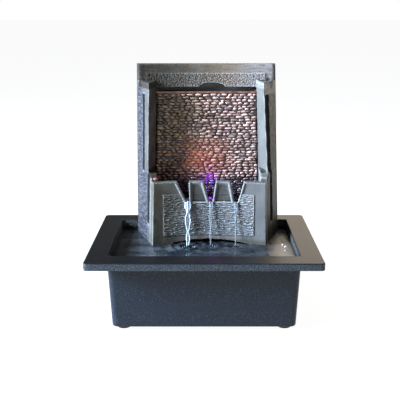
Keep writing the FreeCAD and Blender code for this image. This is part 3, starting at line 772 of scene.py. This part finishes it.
def copper_brown(name):
    """Blotchy copper brown, and painted shade, dark grey, behind the trough's lip."""
    finish = Finish(name, coat_weight=0.5)
    patches = finish.noise(0.006, 4.0)
    inside = finish.along(1).between(0.0478, 0.0486)
    brown = finish.mix(patches.between(0.35, 0.65), COPPER_DARK, COPPER_PALE)
    finish.set("Base Color", finish.mix(inside, brown, TROUGH_SHADE))
    finish.set("Roughness", 0.25 + 0.3 * patches + 0.3 * inside)
    finish.raise_by(finish.noise(0.0015, 3.0), 0.0002)
    return finish


OLIVE_SHADED_DARK = rgb(0.026, 0.014, 0.008)
OLIVE_SHADED_PALE = rgb(0.20, 0.115, 0.060)
OLIVE_SHADED_CROWN = rgb(0.66, 0.50, 0.36)
ROSE_LIT_DARK = rgb(0.055, 0.021, 0.012)
ROSE_LIT_PALE = rgb(0.26, 0.120, 0.075)
ROSE_LIT_CROWN = rgb(0.92, 0.70, 0.72)
STONE_CLOUD = rgb(0.13, 0.085, 0.065)
JOINT_AND_UNDERSIDE_SHADE = rgb(0.014, 0.006, 0.003)
PAINTED_EMBER_GLOW = rgb(0.34, 0.085, 0.025)
PANEL_FOOT_DARK = rgb(0.016, 0.014, 0.026)


def wet_stone(name):
    """Painted shade, olive brown, at the left and painted light, rosy, at the right, with pale crowns
    that are partly a painted highlight, and dark joints and undersides that are partly painted shade.
    """
    finish = Finish(name, coat_weight=1.0, coat_roughness=0.1)
    across = finish.along(0)
    height = finish.along(2)
    tone = finish.attribute("tone")
    crown = finish.attribute("crown")
    grain = finish.noise(0.0012, 3.0, 0.6)
    clouds = finish.noise(0.026, 3.0)
    # Painted shade on the left, which the left wing shades, and painted light on the right.
    right = across.between(-0.035, 0.025)
    base = finish.mix(tone, finish.mix(right, OLIVE_SHADED_DARK, ROSE_LIT_DARK),
                      finish.mix(right, OLIVE_SHADED_PALE, ROSE_LIT_PALE))
    base = finish.mix(clouds.between(0.4, 0.7) * 0.5, base, STONE_CLOUD)
    # Pale crowns: partly dry-brushing, partly a painted highlight on each stone's top and front.
    pale_marks_and_highlight = (crown - 0.10 * tone + 0.30 * grain).between(0.68, 1.0) * (0.15 + 0.85 * tone)
    base = finish.mix(pale_marks_and_highlight, base, finish.mix(right, OLIVE_SHADED_CROWN, ROSE_LIT_CROWN))
    # Dark on each stone's underside and back: partly the joints, partly painted shade under the stone.
    base = finish.mix(1 - crown.between(0.0, 0.38), base, JOINT_AND_UNDERSIDE_SHADE)
    # Painted glow: the lamp's orange light painted on the stones in the middle.
    painted_glow = across.between(-0.032, -0.012) * (1 - across.between(0.014, 0.036))
    painted_glow = painted_glow * height.between(0.128, 0.142) * (1 - height.between(0.158, 0.180))
    base = finish.mix(painted_glow * 0.42, base, PAINTED_EMBER_GLOW)
    # Darker towards the panel's foot, behind the weir's top.
    base = finish.mix(0.85 - 0.85 * height.between(0.124, 0.134), base, PANEL_FOOT_DARK)
    finish.set("Base Color", base)
    finish.set("Roughness", 0.14 + 0.3 * grain)
    finish.raise_by(grain, 0.0003)
    return finish


stone_finish = wet_stone("stacked_stone")
for piece in (stone_slab, stone_courses):
    paint(piece, stone_finish)
    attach(piece, "tower")
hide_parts("cascade_panel")

LUMP_PLACE = (-0.0497, 0.0150, 0.1342)
LUMP_RADII = (0.0030, 0.0026, 0.0021)
bpy.ops.object.select_all(action="DESELECT")
bpy.ops.mesh.primitive_uv_sphere_add(segments=24, ring_count=16, radius=1)
wet_pebble = bpy.context.active_object
wet_pebble.name = "wet_pebble"
wet_pebble.data.transform(Matrix.Translation(LUMP_PLACE) @ Matrix.Diagonal((*LUMP_RADII, 1)))
for vertex in wet_pebble.data.vertices:
    vertex.co += 0.0004 * noise.noise_vector(vertex.co / 0.002)
bpy.ops.object.shade_smooth()
paint(wet_pebble, copper_brown("pebble_brown"))
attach(wet_pebble, "tower")

# ------------------------------------------------------------------ spill trough and pool floor
# The trough behind the panel's top is painted dark inside as shade, and its thin front lip is
# painted the same copper brown as the panel. The upper pool's floor is plain dark slate resin.


def dark_resin(name):
    finish = Finish(name)
    grain = finish.noise(0.003, 4.0)
    finish.set("Base Color", finish.mix(grain, rgb(0.02, 0.021, 0.022), rgb(0.07, 0.07, 0.072)))
    finish.set("Roughness", 0.35 + 0.3 * grain)
    finish.raise_by(grain, 0.0002)
    return finish


paint(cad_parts["spill_trough"], copper_brown("trough_brown"))
paint(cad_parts["pool_tray"], dark_resin("pool_resin"))

# ------------------------------------------------------------------ rear cover
# A flat moulded back held by six cross-head screws, with a slot at its foot for the lead. The
# clips inside it are moulded in the same grey-black plastic.


def grained_plastic(name, dark, pale, grain):
    finish = Finish(name)
    pebbles = finish.noise(grain, 2.0)
    patches = finish.noise(0.03, 3.0)
    specks = pebbles.between(0.52, 0.72) * (0.4 + patches)
    finish.set("Base Color", finish.mix(specks, dark, pale))
    finish.set("Roughness", 0.37 + 0.16 * pebbles)
    finish.raise_by(pebbles, 0.00006)
    return finish


rear_plastic = grained_plastic("rear_plastic", rgb(0.075, 0.076, 0.076), rgb(0.13, 0.13, 0.135),
                               0.0011)
for node in ("rear_cover", "tube_clips", "connector_clip"):
    paint(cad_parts[node], rear_plastic)

screw_steel = Finish("screw_steel", metallic=1.0, base_color=rgb(0.5, 0.5, 0.5))
turned = screw_steel.noise(0.0006, 3.0, place=screw_steel.stretched(1.0, 4.0, 1.0))
screw_steel.set("Roughness", 0.25 + 0.25 * turned)
screw_steel.raise_by(turned, 0.00003)
paint(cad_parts["rear_cover_screws"], screw_steel)

# ------------------------------------------------------------------ pump
# A small potted pump: a black moulded box, its steel core and copper coil cast in resin, and a
# white rotor on a steel shaft. A slotted cover with a foam filter and a blue dial closes it.


def moulded(name, dark, pale, roughness=0.4):
    finish = Finish(name, roughness=roughness)
    flow = finish.noise(0.008, 3.0)
    finish.set("Base Color", finish.mix(flow, dark, pale))
    finish.set("Roughness", roughness - 0.08 + 0.2 * flow)
    finish.raise_by(finish.noise(0.0005, 2.0), 0.00003)
    return finish


def metal(name, colour, roughness, stretch):
    finish = Finish(name, metallic=1.0)
    lines = finish.noise(0.0008, 2.0, place=finish.stretched(*stretch))
    finish.set("Base Color", finish.mix(lines, colour, rgb(*[0.7 * c for c in colour[:3]])))
    finish.set("Roughness", roughness + 0.2 * lines)
    finish.raise_by(lines, 0.00005)
    return finish


def foam(name):
    finish = Finish(name, roughness=0.95)
    pores = finish.cells(0.0012)
    finish.set("Base Color", finish.mix(pores.between(0.1, 0.6), rgb(0.004, 0.004, 0.004),
                                        rgb(0.05, 0.05, 0.052)))
    finish.raise_by(pores, 0.0006)
    return finish


pump_finishes = {
    "pump_housing": moulded("pump_black", rgb(0.010, 0.011, 0.013), rgb(0.022, 0.024, 0.028)),
    "stator_core": metal("core_steel", rgb(0.35, 0.35, 0.36), 0.3, (12.0, 1.0, 1.0)),
    "stator_coil": metal("copper_wire", rgb(0.62, 0.27, 0.12), 0.25, (10.0, 1.0, 1.0)),
    "motor_potting": moulded("potting_resin", rgb(0.012, 0.012, 0.014), rgb(0.02, 0.02, 0.024), 0.15),
    "impeller": moulded("impeller_white", rgb(0.62, 0.62, 0.58), rgb(0.75, 0.75, 0.72)),
    "rotor_magnet": moulded("ferrite", rgb(0.02, 0.02, 0.022), rgb(0.045, 0.045, 0.05), 0.55),
    "rotor_shaft": metal("shaft_steel", rgb(0.6, 0.6, 0.62), 0.15, (1.0, 6.0, 6.0)),
    "flow_dial": moulded("dial_blue", rgb(0.02, 0.07, 0.22), rgb(0.04, 0.11, 0.30)),
    "filter_sponge": foam("filter_foam"),
    "volute_seal": rubber("seal_rubber"),
}
alike = {"volute_cover": "pump_housing", "intake_cover": "pump_housing",
         "shaft_bushes": "volute_seal", "suction_cups": "volute_seal",
         "cord_gland": "volute_seal", "lamp_gasket": "volute_seal", "lamp_gland": "volute_seal"}
for node, finish in pump_finishes.items():
    paint(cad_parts[node], finish)
for node, like in alike.items():
    paint(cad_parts[node], pump_finishes[like])

# ------------------------------------------------------------------ hose
# Clear flexible hose from the pump up to the trough, a little cloudy from the water in it.
hose = Finish("clear_hose", roughness=0.25, transmission_weight=0.6, ior=1.4)
bloom = hose.noise(0.006, 3.0)
hose.set("Base Color", hose.mix(bloom, rgb(0.72, 0.76, 0.76), rgb(0.86, 0.88, 0.86)))
hose.set("Roughness", 0.18 + 0.25 * bloom)
paint(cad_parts["riser_tube"], hose)

# ------------------------------------------------------------------ lamp
# A sealed underwater lamp under the upper pool: a black housing with a clear dome, six violet
# light-emitting diodes on a white board, and a black lead to a sealed plug.
lamp_black = moulded("lamp_black", rgb(0.010, 0.010, 0.012), rgb(0.022, 0.022, 0.026))
for node in ("lamp_housing", "lamp_connector"):
    paint(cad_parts[node], lamp_black)
paint(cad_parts["lamp_lead"], rubber("lead_sheath"))
paint(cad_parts["lamp_board"], moulded("lamp_board", rgb(0.75, 0.75, 0.72),
                                            rgb(0.85, 0.85, 0.82)))
lens = Finish("lamp_lens", transmission_weight=1.0, ior=1.49, roughness=0.05)
lens_flow = lens.noise(0.004, 2.0)
lens.set("Base Color", lens.mix(lens_flow, rgb(0.9, 0.9, 1.0), rgb(0.8, 0.8, 0.95)))
paint(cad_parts["lamp_lens"], lens)
diode = Finish("violet_diode", roughness=0.2, emission_strength=2.0)
glow = diode.noise(0.002, 1.0)
diode.set("Emission Color", diode.mix(glow, rgb(0.35, 0.05, 1.0), rgb(0.55, 0.15, 1.0)))
diode.set("Base Color", diode.mix(glow, rgb(0.4, 0.1, 0.9), rgb(0.5, 0.2, 0.9)))
paint(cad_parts["lamp_leds"], diode)


def add_light(name, kind, place, power, colour, size=0.0, aim=None, size_y=None):
    data = bpy.data.lights.new(name, kind)
    data.energy = power
    data.color = colour
    if kind == "AREA":
        data.shape = "RECTANGLE"
        data.size = size
        data.size_y = size_y or size
    else:
        data.shadow_soft_size = size
    lamp = bpy.data.objects.new(name, data)
    lamp.location = place
    if aim is not None:
        lamp.rotation_euler = (Vector(aim) - Vector(place)).to_track_quat("-Z", "Y").to_euler()
    scene.collection.objects.link(lamp)
    return lamp


lamp_low, lamp_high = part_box("lamp_lens")
lamp_middle = (lamp_low + lamp_high) / 2
add_light("violet_glow", "POINT", (lamp_middle.x + 0.002, lamp_high.y - 0.006, lamp_high.z + 0.018),
          0.0105, (0.34, 0.02, 1.0), 0.004)
add_light("ember_glow", "POINT", (lamp_middle.x - 0.006, lamp_high.y - 0.010, lamp_high.z + 0.040),
          0.0046, (1.0, 0.20, 0.03), 0.010)

# ------------------------------------------------------------------ basin water
# Still, dark water that fills the basin to about a centimetre under its rim. Rings spread from
# the foot of each stream, and a few drops and bubbles sit near the right-hand wall.
WATER_LEVEL = 0.066
WATER_STEP = 0.0011
STREAM_FEET = ((-0.0166, 0.0025), (0.0070, 0.0030), (0.0326, 0.0030))
STREAM_FORCE = (1.0, 0.55, 0.5)


def water_height(x, y):
    calm = max(0.15, min(1.0, (0.082 - abs(x)) / 0.02))
    swell = 0.0009 * calm * noise.noise(Vector((x / 0.026, y / 0.018, 0)))
    swell += 0.0005 * calm * noise.noise(Vector((x / 0.011, y / 0.007, 5)))
    for (foot_x, foot_y), force in zip(STREAM_FEET, STREAM_FORCE):
        away = math.hypot(x - foot_x, y - foot_y)
        ring = math.cos(math.tau * away / 0.0100) * math.exp(-away / 0.014)
        swell += 0.0016 * force * ring
        swell += 0.0009 * force ** 3 * math.exp(-((away - 0.0175) / 0.0020) ** 2)
    return WATER_LEVEL + swell


def water_finish(name, milk, deep, pale, sides=None):
    """Water with a little milk in it. Where sides is given, the water by the basin's left and right
    walls takes that colour as a painted reflection of the warm light, and it is duller at the right."""
    finish = Finish(name, transmission_weight=1.0 - milk, ior=1.33, roughness=0.03)
    drift = finish.noise(0.022, 4.0, place=finish.stretched(0.6, 1.6, 1.0))
    base = finish.mix(drift.between(0.38, 0.70), deep, pale)
    if sides:
        # Painted reflection: tan by the walls, most at the right.
        across = finish.along(0)
        by_a_wall = across.between(0.058, 0.076) + 0.45 * (1 - across.between(-0.086, -0.060))
        base = finish.mix(by_a_wall, base, sides)
        finish.set("Roughness", 0.03 + 0.36 * across.between(0.055, 0.072))
    finish.set("Base Color", base)
    finish.raise_by(finish.noise(0.006, 2.0), 0.00016)
    return finish


def add_pool(name, low, high, height, step):
    """Water with a rippled top, as one closed block."""
    columns = int((high.x - low.x) / step)
    rows = int((high.y - low.y) / step)
    bpy.ops.mesh.primitive_grid_add(x_subdivisions=columns, y_subdivisions=rows, size=1)
    piece = bpy.context.active_object
    piece.name = name
    middle = (low + high) / 2
    span = high - low
    piece.data.transform(Matrix.Translation((middle.x, middle.y, 0))
                         @ Matrix.Diagonal((span.x, span.y, 1, 1)))
    for vertex in piece.data.vertices:
        vertex.co.z = height(vertex.co.x, vertex.co.y)
    bpy.ops.object.mode_set(mode="EDIT")
    bpy.ops.mesh.select_all(action="SELECT")
    bpy.ops.mesh.region_to_loop()
    bpy.ops.mesh.extrude_edges_move(TRANSFORM_OT_translate={"value": (0, 0, low.z - high.z)})
    bpy.ops.mesh.edge_face_add()
    bpy.ops.mesh.select_all(action="SELECT")
    bpy.ops.mesh.normals_make_consistent(inside=False)
    bpy.ops.object.mode_set(mode="OBJECT")
    floor_faces = [f for f in piece.data.polygons if len(f.vertices) > 4]
    for face in floor_faces:
        for index in face.vertices:
            piece.data.vertices[index].co.z = low.z
    pick(piece)
    bpy.ops.object.shade_smooth_by_angle(angle=math.radians(50))
    return piece


pool_low = Vector((-0.0902, -0.0592, 0.0600))
pool_high = Vector((0.0902, 0.0612, WATER_LEVEL))
basin_water = add_pool("basin_water", pool_low, pool_high, water_height, WATER_STEP)
# The deep water's pale drifting patches are partly cloudy water and partly painted reflection. The tan
# given for the sides is a painted reflection of the warm light.
deep_water = water_finish("deep_water", 0.22, rgb(0.032, 0.050, 0.074), rgb(0.23, 0.25, 0.275),
                          rgb(0.30, 0.25, 0.20))
paint(basin_water, deep_water)
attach(basin_water, "root")

# ------------------------------------------------------------------ upper pool
# The shallow pool behind the weir. It stands just above the bottoms of the notches.
UPPER_LEVEL = 0.1122
tray_low, tray_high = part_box("pool_tray")


def upper_height(x, y):
    wave = 0.0003 * noise.noise(Vector((x / 0.008, y / 0.006, 9)))
    return UPPER_LEVEL + wave


upper_water = add_pool("upper_water", Vector((tray_low.x + 0.003, tray_low.y + 0.004, tray_high.z)),
                       Vector((tray_high.x - 0.003, panel_low.y + 0.001, UPPER_LEVEL)),
                       upper_height, 0.0014)
# Its front edge is then bent along the weir's hollow back.
WEIR_HALF = 0.059
WEIR_BACK = 0.0115
WEIR_BEND = 0.008
weir_middle = (weir_low.x + weir_high.x) / 2
back = panel_low.y + 0.001
for vertex in upper_water.data.vertices:
    from_middle = (vertex.co.x - weir_middle) / WEIR_HALF
    front = weir_low.y + WEIR_BACK - WEIR_BEND * from_middle ** 2
    share = (vertex.co.y - tray_low.y - 0.004) / (back - tray_low.y - 0.004)
    vertex.co.y = front + share * (back - front)
clear_water = water_finish("clear_water", 0.0, rgb(0.80, 0.90, 0.95), rgb(0.90, 0.96, 1.0))
paint(upper_water, clear_water)
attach(upper_water, "tower")

# ------------------------------------------------------------------ three streams
# Each notch pours a thread of water, which falls as a thin film between two thicker strands.
# The strands part and meet again like links of a chain on their way down to the basin. The
# left stream is the strongest, and leaves its notch as one solid jet.
GRAVITY = 9.81
NOTCH_FLOOR = 0.1099
FALL_STEPS = 60
HEAD_LENGTH = 0.0095
HEAD_RADIUS = 0.0013
STREAMS = (
    (-0.0166, 0.00062, ((0, 2.3), (4, 2.5), (9, 0.7), (17, 2.7), (25, 1.5), (29, 0.5),
                        (36, 1.7), (45, 0.8)), 1.0),
    (0.0070, 0.00025, ((0, 1.5), (8, 1.3), (14, 1.5), (26, 0.8), (34, 0.9), (45, 0.4)), 4.0),
    (0.0326, 0.00021, ((0, 1.6), (6, 1.5), (12, 0.7), (20, 1.2), (27, 0.4), (45, 0.35)), 7.0))


def fall_line(x):
    """Places down the middle of a stream, from the upper pool through its notch to the basin."""
    front = weir_front(x) - 0.0019
    surface = UPPER_LEVEL - 0.0010
    places = [Vector((x, front + 0.012, surface)), Vector((x, front + 0.006, surface))]
    drop = NOTCH_FLOOR - WATER_LEVEL + 0.002
    fall_time = math.sqrt(2 * drop / GRAVITY)
    for i in range(FALL_STEPS + 1):
        share = i / FALL_STEPS
        time = fall_time * share
        places.append(Vector((x, front + (0.0028 - front) * share ** 1.5 * 0.6,
                              NOTCH_FLOOR + 0.0006 - GRAVITY * time ** 2 / 2)))
    return places


def half_width(place, links):
    fallen = (NOTCH_FLOOR - place.z) * 1000
    return 0.001 * np.interp(fallen, [link[0] for link in links], [link[1] for link in links])


def add_film(name, places, widths):
    """A thin sheet of water across the strands."""
    bpy.ops.mesh.primitive_grid_add(x_subdivisions=6, y_subdivisions=len(places) - 1, size=2)
    piece = bpy.context.active_object
    piece.name = name
    for vertex in piece.data.vertices:
        row = min(len(places) - 1, round((vertex.co.y + 1) / 2 * (len(places) - 1)))
        bulge = 0.0003 * math.cos(vertex.co.x * math.pi / 2)
        vertex.co = places[row] + Vector((vertex.co.x * widths[row], -bulge, 0))
    add_modifier(piece, "SOLIDIFY", thickness=0.00035, offset=0.0)
    bpy.ops.object.mode_set(mode="EDIT")
    bpy.ops.mesh.select_all(action="SELECT")
    bpy.ops.mesh.normals_make_consistent(inside=False)
    bpy.ops.object.mode_set(mode="OBJECT")
    bpy.ops.object.shade_smooth_by_angle(angle=math.radians(60))
    return piece


stream_water = water_finish("stream_water", 0.62, rgb(0.66, 0.78, 0.88), rgb(0.92, 0.96, 1.0))
thin_water = water_finish("thin_water", 0.38, rgb(0.60, 0.70, 0.80), rgb(0.88, 0.93, 1.0))
film_water = water_finish("film_water", 0.08, rgb(0.80, 0.90, 0.95), rgb(0.92, 0.96, 1.0))
for number, (x, thick, links, seed) in enumerate(STREAMS, 1):
    middle = fall_line(x)
    for place in middle:
        place.x += 0.0005 * noise.noise(Vector((seed, 0, place.z / 0.010)))
    widths = [half_width(place, links) for place in middle]
    strands = []
    for side in (-1, 1):
        places = [place + Vector((side * width, 0, 0)) for place, width in zip(middle, widths)]
        radii = [thick * (1 + 0.55 * noise.noise(Vector((seed + side, 2, place.z / 0.0035))))
                 * (1.5 if place.z > NOTCH_FLOOR - 0.007 else 1.0) for place in places]
        strands.append(add_tube("strand", places, radii))
    if number == 1:
        head = [place for place in middle if place.z > NOTCH_FLOOR - HEAD_LENGTH]
        strands.append(add_tube("strand", head, [HEAD_RADIUS] * len(head)))
    stream = join(strands, f"stream_{number}")
    film = add_film(f"film_{number}", middle, widths)
    paint(stream, stream_water if number == 1 else thin_water)
    paint(film, film_water)
    for piece in (stream, film):
        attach(piece, "tower")

# ------------------------------------------------------------------ drops and foam
# Small drops thrown up round the foot of each stream, and bubbles by the right-hand wall.
random.seed(5)


def add_drops(name, places):
    drops = []
    for x, y, radius in places:
        bpy.ops.mesh.primitive_ico_sphere_add(subdivisions=2, radius=1)
        drop = bpy.context.active_object
        lift = water_height(x, y) + 0.3 * radius
        drop.data.transform(Matrix.Translation((x, y, lift))
                            @ Matrix.Diagonal((radius, radius, 0.8 * radius, 1)))
        drops.append(drop)
    piece = join(drops, name)
    bpy.ops.object.shade_smooth()
    return piece


splash = []
for (foot_x, foot_y), force in zip(STREAM_FEET, STREAM_FORCE):
    for _ in range(int(9 * force)):
        angle = random.uniform(0, math.tau)
        away = random.uniform(0.001, 0.006) * (0.6 + force)
        splash.append((foot_x + away * math.cos(angle), foot_y + 0.8 * away * math.sin(angle),
                       random.uniform(0.0002, 0.0005)))
foam_drops = add_drops("foam_drops", splash)
bubbles = add_drops("wall_bubbles", [(0.0825, 0.019, 0.0009), (0.0815, 0.0055, 0.0011),
                                     (0.0835, -0.0005, 0.0012), (0.0822, -0.013, 0.0009),
                                     (0.0795, 0.048, 0.0007)])
for piece in (foam_drops, bubbles):
    paint(piece, stream_water)
    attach(piece, "root")

# ------------------------------------------------------------------ floor and studio light
# A pale floor, a cool soft box to the left, a weak front fill, a pale card overhead, and a warm
# card behind to the right, which gives the rim and the water their tan sheen. The water's tan by
# the walls is also painted.
bpy.ops.mesh.primitive_plane_add(size=80, location=(0, 0, 0))
floor = bpy.context.active_object
floor.name = "floor"
floor_finish = Finish("floor_white", roughness=0.9, emission_strength=0.95,
                      emission_color=rgb(1, 1, 1), specular_ior_level=0.1)
paper = floor_finish.noise(0.4, 2.0)
floor_finish.set("Base Color", floor_finish.mix(paper, rgb(0.10, 0.10, 0.10), rgb(0.12, 0.12, 0.12)))
paint(floor, floor_finish)

world = bpy.data.worlds.new("studio")
scene.world = world
world.use_nodes = True
sky = world.node_tree
background = sky.nodes["Background"]
background.inputs["Color"].default_value = rgb(0.8, 0.9, 1.0)
background.inputs["Strength"].default_value = 0.06
backdrop = sky.nodes.new("ShaderNodeBackground")
backdrop.inputs["Color"].default_value = rgb(1, 1, 1)
backdrop.inputs["Strength"].default_value = 1.0
rays = sky.nodes.new("ShaderNodeLightPath")
choice = sky.nodes.new("ShaderNodeMixShader")
sky.links.new(rays.outputs["Is Camera Ray"], choice.inputs[0])
sky.links.new(background.outputs[0], choice.inputs[1])
sky.links.new(backdrop.outputs[0], choice.inputs[2])
sky.links.new(choice.outputs[0], sky.nodes["World Output"].inputs["Surface"])

middle_of_tower = (0.0, 0.02, 0.13)
add_light("key_left", "AREA", (-1.10, -0.32, 0.60), 105.0, (0.68, 0.82, 1.0), 0.5,
          middle_of_tower)
add_light("fill_front", "AREA", (0.45, -1.1, 0.55), 1.5, (1.0, 0.92, 0.78), 0.7, middle_of_tower)
sky_card = add_light("sky_card", "AREA", (-0.15, 0.25, 1.5), 6.2, (0.72, 0.86, 1.0), 1.6,
                     (-0.15, 0.25, 0.0))
warm_card = add_light("warm_card", "AREA", (0.52, 1.00, 0.45), 8.0, (1.0, 0.86, 0.70), 1.1,
                      (0.09, 0.0, 0.07), 0.8)
for card in (sky_card, warm_card):
    card.visible_camera = False

scene.view_settings.view_transform = "Standard"
